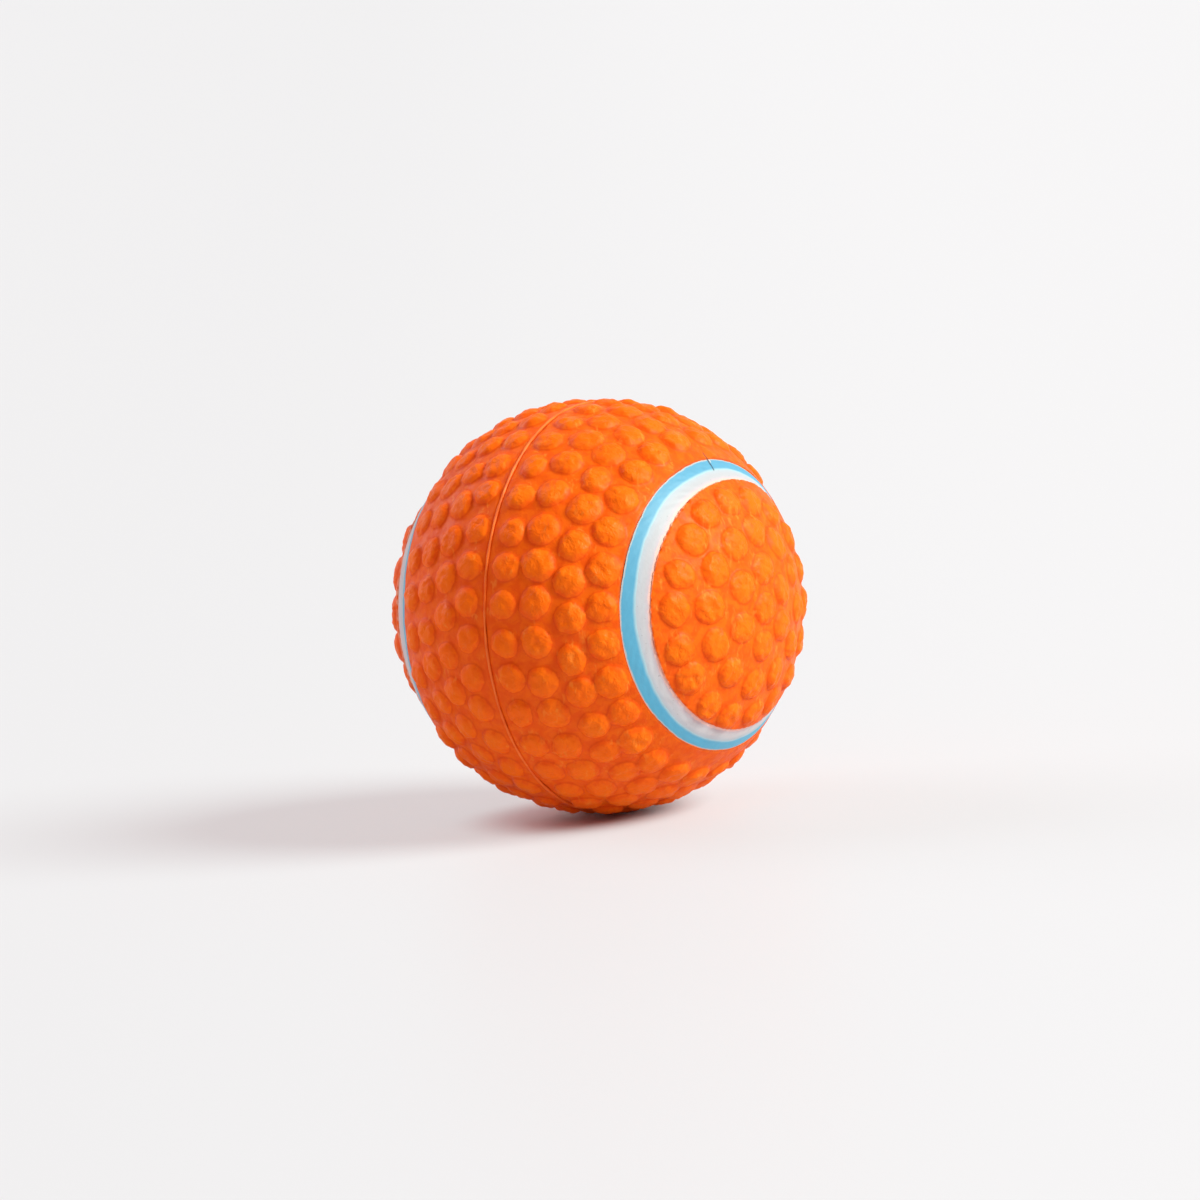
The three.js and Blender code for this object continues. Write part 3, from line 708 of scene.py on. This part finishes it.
FOAM_STEPS, FOAM_SPAN, FOAM_FACE, ROOM_DOME_STEPS = 72, 48, 10, 12
PIT_FREE = 2.0  # radius about the axis in which the foam has no pits
MERGE_WITHIN, FLAT_WITHIN = 0.002, 0.001
TURN_STEPS = 96


def squeaker_box():
    """Heights and radii of the squeaker's solids: neck foot, flange top, bellows ends, crown rim and crown top."""
    neck, bellows, crown = (node_box(f"squeaker_{piece}") for piece in ("neck", "bellows", "crown"))
    holder = node_box("reed_holder")
    return {
        "neck": neck[0][2], "flange_top": neck[1][2], "flange_radius": neck[1][0], "holder": holder[0][2],
        "bellows_foot": bellows[0][2], "bellows_top": bellows[1][2], "bellows_radius": bellows[1][0],
        "crown_foot": crown[0][2], "crown_top": crown[1][2], "crown_radius": crown[1][0],
    }


SQUEAKER = squeaker_box()
FLANGE_THICKNESS, NECK_RADIUS, NECK_BORE_RADIUS, NECK_ROUNDING = 1.2, 6.0, 4.8, 0.4
FOLDS, FOLD_DEPTH, FOLD_FULLNESS, FOLD_STEPS, BELLOWS_WALL = 4, 3.0, 1.6, 24, 0.8
CROWN_RIM_HEIGHT, CROWN_WALL, CROWN_TIP, CROWN_STEPS = 1.6, 1.0, 0.02, 24
SIDE_OVER_CUT = 2.2  # a rounded corner takes no more of a side than the side over this


def along_path(path, count):
    """count points evenly spread along the straight runs of a path (n, 2)."""
    path = np.asarray(path, float)
    reach = np.concatenate([[0], np.cumsum(np.linalg.norm(np.diff(path, axis=0), axis=1))])
    where = np.linspace(0, reach[-1], count)
    return np.stack([np.interp(where, reach, path[:, 0]), np.interp(where, reach, path[:, 1])], axis=-1)


def quarter_dome(radius, foot, top, steps):
    """A quarter ellipse (steps, 2) of radius and height, from its rim at the foot to the axis at the top."""
    lift = np.linspace(0, np.pi / 2, steps)
    return np.stack([radius * np.cos(lift), foot + (top - foot) * np.sin(lift)], axis=-1)


def foam_half(name, node, side):
    """Half of the foam filling. Its section between the squeaker's room and the ball, in radius and height, has two
    courses from the lower to the upper end of the Z axis: the ball's arc and the room's outline. Each height of
    the section is carried over half a turn about Z on the ball's course, across the flat face, back over the half
    turn on the room's course and across the other flat face; both ends lie on the axis and are closed there."""
    s = SQUEAKER
    room = max(s["bellows_radius"], s["crown_radius"], s["flange_radius"]) + FIT
    neck_room = NECK_RADIUS + FIT
    rim = s["crown_foot"] + CROWN_RIM_HEIGHT + FIT
    dome = quarter_dome(room, rim, s["crown_top"] + FIT, ROOM_DOME_STEPS)
    step = s["flange_top"] - FLANGE_THICKNESS - FIT
    floor = s["holder"] - FIT
    outline = [[0, floor], [neck_room, floor], [neck_room, step], [room, step], *dome]
    inside = along_path(outline, FOAM_STEPS)
    inside[[0, -1], 0] = 0
    polar = np.linspace(np.pi, 0, FOAM_STEPS)
    radius = INNER_RADIUS - FIT
    outside = np.stack([radius * np.sin(polar), radius * np.cos(polar)], axis=-1)
    outside[[0, -1], 0] = 0

    half = np.linspace(-np.pi / 2, np.pi / 2, FOAM_SPAN)
    over = np.linspace(0, 1, FOAM_FACE)[1:-1]
    angle = np.concatenate([half, np.full(len(over), np.pi / 2), half[::-1], np.full(len(over), -np.pi / 2)])
    share = np.concatenate([np.zeros(FOAM_SPAN), over, np.ones(FOAM_SPAN), over[::-1]])
    section = outside[:, None] * (1 - share)[:, None] + inside[:, None] * share[:, None]
    from_axis, height = section[..., 0], section[..., 1]
    whole = np.stack([from_axis * np.cos(angle), from_axis * np.sin(angle), height], axis=-1)
    pits = ripples(whole, [FOAM_PITS], FOAM_SEED + side) - 2 * FOAM_PITS[0]
    inward = pits * (share == 0) * smooth_step(0, PIT_FREE, from_axis)
    reach = from_axis + inward * from_axis / radius
    x = side * (PARTING + reach * np.cos(angle).clip(0))
    points = np.stack([x, reach * np.sin(angle), height], axis=-1)
    faces = grid_faces(FOAM_STEPS, len(angle))
    piece = mesh_piece(
        name, points.reshape(-1, 3), [faces if side > 0 else faces[:, ::-1]], FOAM, stands_for=[node], slot="foam",
    )
    close_axis(piece)
    return piece


def close_axis(piece):
    """Merges the points that fall together where a course ends on the axis, and turns the faces outwards."""
    work = bmesh.new()
    work.from_mesh(piece.data)
    bmesh.ops.remove_doubles(work, verts=work.verts, dist=MERGE_WITHIN * MM)
    bmesh.ops.dissolve_degenerate(work, dist=FLAT_WITHIN * MM, edges=work.edges)
    bmesh.ops.recalc_face_normals(work, faces=work.faces)
    work.to_mesh(piece.data)
    work.free()
    piece.data.shade_smooth()


def turned_about_z(name, section, finish, **more):
    """A closed section (n, 2) of radius and height carried round the Z axis."""
    turn = 2 * np.pi * np.arange(TURN_STEPS) / TURN_STEPS
    radius, height = section[:, :1], section[:, 1:]
    points = np.stack([radius * np.cos(turn), radius * np.sin(turn), height + 0 * turn], axis=-1)
    faces = grid_faces(len(section), TURN_STEPS, rows_close=True)
    return mesh_piece(name, points.reshape(-1, 3), [faces], finish, slot="bellows_plastic", **more)


def rounded(corners, radius, steps=5):
    """A closed section whose corners are cut by quadratic curves that start and end radius from the corner, or a
    little under half way to the next one where that is nearer."""
    corners = np.asarray(corners, float)
    to_last = np.roll(corners, 1, axis=0) - corners
    to_next = np.roll(corners, -1, axis=0) - corners
    lengths = [np.linalg.norm(v, axis=1, keepdims=True) for v in (to_last, to_next)]
    start = corners + to_last / lengths[0] * np.minimum(radius, lengths[0] / SIDE_OVER_CUT)
    end = corners + to_next / lengths[1] * np.minimum(radius, lengths[1] / SIDE_OVER_CUT)
    t = np.linspace(0, 1, steps)[None, :, None]
    curves = start[:, None] * (1 - t) ** 2 + 2 * corners[:, None] * t * (1 - t) + end[:, None] * t**2
    return curves.reshape(-1, 2)


def squeaker_bellows():
    """The folded wall: its radius swings between valley and ridge as a rounded wave of the height, once a fold."""
    s = SQUEAKER
    height = np.linspace(s["bellows_foot"], s["bellows_top"], FOLD_STEPS * FOLDS + 1)
    phase = 2 * np.pi * FOLDS * (height - height[0]) / (height[-1] - height[0])
    wave = (1 - np.cos(phase)) / 2
    fold = 0.5 + 0.5 * np.tanh(FOLD_FULLNESS * (2 * wave - 1)) / np.tanh(FOLD_FULLNESS)
    outside = s["bellows_radius"] - FOLD_DEPTH * (1 - fold)
    section = np.stack([outside, height], axis=-1)
    return turned_about_z(
        "bellows_wall", np.concatenate([section, (section - [BELLOWS_WALL, 0])[::-1]]), BELLOWS_PLASTIC,
        stands_for=["squeaker_bellows"],
    )


def squeaker_neck():
    """The neck and its flange, with rounded corners."""
    s = SQUEAKER
    flange = s["flange_top"] - FLANGE_THICKNESS
    corners = [
        [NECK_BORE_RADIUS, s["neck"]], [NECK_RADIUS, s["neck"]], [NECK_RADIUS, flange],
        [s["flange_radius"], flange], [s["flange_radius"], s["flange_top"]], [NECK_BORE_RADIUS, s["flange_top"]],
    ]
    section = rounded(corners, NECK_ROUNDING)
    return turned_about_z("neck_and_flange", section, BELLOWS_PLASTIC, stands_for=["squeaker_neck"])


def squeaker_crown():
    """The domed end: quarter ellipses outside and inside over a straight rim, with a lip turned in below."""
    s = SQUEAKER
    foot, top, radius = s["crown_foot"], s["crown_top"], s["crown_radius"]
    lip = s["bellows_radius"] - FOLD_DEPTH - BELLOWS_WALL
    rim = foot + CROWN_RIM_HEIGHT
    outer = quarter_dome(radius, rim, top, CROWN_STEPS)[:-1]
    inner = quarter_dome(radius - CROWN_WALL, rim, top - CROWN_WALL, CROWN_STEPS)[:-1]
    tips = [[CROWN_TIP, top], [CROWN_TIP, top - CROWN_WALL]]
    under = [[lip, foot + CROWN_WALL], [lip, foot], [radius, foot]]
    section = np.concatenate([outer, tips, inner[::-1], under])
    return turned_about_z("crown_dome", section, BELLOWS_PLASTIC, body="crown", stands_for=["squeaker_crown"])


skins = [half_skin("right_nubbed_skin", "right_skin", 1), half_skin("left_nubbed_skin", "left_skin", -1)]
lines = []
for name, side in (("right", 1), ("left", -1)):
    border = COLOUR_BORDER[side]
    white = colour_line(
        f"{name}_white_line", f"{name}_white_band", side, WHITE_FROM, border, WHITE, "white_paint", WHITE_SEED + side
    )
    blue = colour_line(
        f"{name}_blue_line", f"{name}_blue_band", side, border, BLUE_TO, BLUE, "blue_paint", BLUE_SEED + side
    )
    lines += [white, blue]
foams = [foam_half("right_foam_filling", "right_foam", 1), foam_half("left_foam_filling", "left_foam", -1)]
for soft in [*skins, *lines, bond_line(), *foams]:
    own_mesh(soft)

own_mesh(squeaker_bellows())
squeaker_neck()
squeaker_crown()
for node, finish in (("reed_holder", REED_PLASTIC), ("reed_wedge", REED_PLASTIC), ("squeaker_reed", REED_FILM)):
    solid = bpy.data.objects[node]
    solid.data.materials.clear()
    solid.data.materials.append(finish)

# Stage, light and camera, from the picture's 1200 by 1200 frame

PICTURE = 1200
BALL_MIDDLE_PX = (599.2, 605.9)
PIXEL = 0.1555
VIEW_AZIMUTH, VIEW_ELEVATION = np.radians(33.8), np.radians(8.0)
CAMERA_DISTANCE = 1300.0
LAMP_DISTANCE = 1500.0
SENSOR = 36.0


def look_from(azimuth, elevation):
    """Unit direction from the ball to something seen at an azimuth from the front and an elevation."""
    flat = np.cos(elevation)
    return np.array([np.sin(azimuth) * flat, -np.cos(azimuth) * flat, np.sin(elevation)])


def place(thing, right, up, back, at):
    """Sets an object that looks along its own -Z by its axes and its place in millimetres."""
    turned = Matrix(np.stack([right, up, back], axis=-1).tolist()).to_4x4()
    thing.matrix_world = Matrix.Translation((np.asarray(at) * MM).tolist()) @ turned
    bpy.context.scene.collection.objects.link(thing)


def picture_axes():
    """Right, up and back of the picture: the ball's axis lies level in it."""
    back = look_from(VIEW_AZIMUTH, VIEW_ELEVATION)
    right = np.array([1.0, 0, 0]) - back[0] * back
    right /= np.linalg.norm(right)
    return right, np.cross(back, right), back


def add_camera():
    """A long lens at the picture's angle."""
    right, up, back = picture_axes()
    lens = bpy.data.cameras.new("camera")
    lens.sensor_width = SENSOR
    lens.lens = SENSOR * CAMERA_DISTANCE / (PICTURE * PIXEL)
    lens.clip_start, lens.clip_end = 0.01, 100
    aside = (PICTURE / 2 - BALL_MIDDLE_PX[0]) * PIXEL
    above = (BALL_MIDDLE_PX[1] - PICTURE / 2) * PIXEL
    camera = bpy.data.objects.new("camera", lens)
    place(camera, right, up, back, back * CAMERA_DISTANCE + right * aside + up * above)
    bpy.context.scene.camera = camera


def add_lamp(name, azimuth, elevation, width, strength, colour):
    """A broad far lamp, width degrees across as seen from the ball, so that its light is even over the floor."""
    back = look_from(np.radians(azimuth), np.radians(elevation))
    right = np.cross([0, 0, 1], back)
    right /= np.linalg.norm(right)
    lamp = bpy.data.lights.new(name, "SUN")
    lamp.angle = np.radians(width)
    lamp.energy = strength
    lamp.color = colour
    place(bpy.data.objects.new(name, lamp), right, np.cross(back, right), back, back * LAMP_DISTANCE)


# Floor: half its side in metres, its colour and glow, which grow a little paler from the left to the right of the
# picture as painted light from the key lamp's side, and how far from the shaded place, which lies aside of the
# ball's foot, the glow begins and is full
FLOOR_HALF = 4.0
FLOOR_COLOURS = (0.68, 0.682, 0.745, 1), (0.725, 0.729, 0.795, 1)
GLOW_COLOURS = (0.88, 0.88, 0.88, 1), (0.93, 0.93, 0.93, 1)
PALE_FROM_MIDDLE = 100.0
GLOW_NEAR, GLOW_FAR, GLOW_SHARE = 8.0, 21.0, 0.5
GLOW_ASIDE = 6.0


def add_floor():
    """A plain pale floor under the lowest nub. The camera also sees it glow a little, away from where the ball
    stands and its shadow begins, as a floor lit from below does, so that the shadow on it stays light."""
    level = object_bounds()[0].z
    ends = ((-1, -1), (1, -1), (1, 1), (-1, 1))
    mesh = bpy.data.meshes.new("floor")
    mesh.from_pydata([(x * FLOOR_HALF, y * FLOOR_HALF, level) for x, y in ends], [], [(0, 1, 2, 3)])
    finish = Finish("pale_floor", Roughness=0.45, Specular_IOR_Level=0.2)
    right = picture_axes()[0]
    # painted light: paler towards the right of the picture, as from the key lamp on that side
    pale = finish.spread(finish.along(right), -PALE_FROM_MIDDLE, PALE_FROM_MIDDLE)
    finish.set("Base Color", finish.mix(pale, *FLOOR_COLOURS))
    shaded = np.array([0, 0, level / MM]) - GLOW_ASIDE * right
    glow = finish.spread(finish.reach(shaded), GLOW_NEAR, GLOW_FAR, 0.0, GLOW_SHARE)
    seen = finish.times(glow, finish.node("ShaderNodeLightPath", {}).outputs["Is Camera Ray"])
    light = finish.node("ShaderNodeEmission", {"Color": finish.mix(pale, *GLOW_COLOURS)})
    both = finish.node("ShaderNodeMixShader", {0: seen, 1: finish.shader.outputs[0], 2: light.outputs[0]})
    finish.tree.links.new(both.outputs[0], finish.tree.nodes["Material Output"].inputs["Surface"])
    mesh.materials.append(finish.material)
    floor = bpy.data.objects.new("floor", mesh)
    bpy.context.scene.collection.objects.link(floor)


FILL_COLOUR = (1.0, 0.585, 0.525, 1.0)


def add_world(light_strength, wall_strength):
    """Even, slightly warm light from all round; the camera, gloss and glass see it as a pale studio wall."""
    world = bpy.data.worlds.new("studio")
    world.use_nodes = True
    tree = world.node_tree
    light, wall = tree.nodes["Background"], tree.nodes.new("ShaderNodeBackground")
    light.inputs["Strength"].default_value = light_strength
    wall.inputs["Strength"].default_value = wall_strength
    light.inputs["Color"].default_value = FILL_COLOUR
    wall.inputs["Color"].default_value = (1, 1, 1, 1)
    path, mix = tree.nodes.new("ShaderNodeLightPath"), tree.nodes.new("ShaderNodeMixShader")
    seen = path.outputs["Is Camera Ray"]
    for ray in ("Is Glossy Ray", "Is Transmission Ray"):
        both = tree.nodes.new("ShaderNodeMath")
        both.operation = "MAXIMUM"
        tree.links.new(seen, both.inputs[0])
        tree.links.new(path.outputs[ray], both.inputs[1])
        seen = both.outputs[0]
    tree.links.new(seen, mix.inputs[0])
    tree.links.new(light.outputs[0], mix.inputs[1])
    tree.links.new(wall.outputs[0], mix.inputs[2])
    tree.links.new(mix.outputs[0], tree.nodes["World Output"].inputs["Surface"])
    bpy.context.scene.world = world


add_camera()
add_lamp("key", azimuth=104, elevation=36, width=30, strength=4.4, colour=(0.84, 1.0, 0.91))
add_lamp("rim", azimuth=-90, elevation=30, width=40, strength=1.1, colour=(1.0, 0.96, 0.96))
add_floor()
add_world(light_strength=0.413, wall_strength=0.9)
bpy.context.scene.view_settings.view_transform = "Standard"
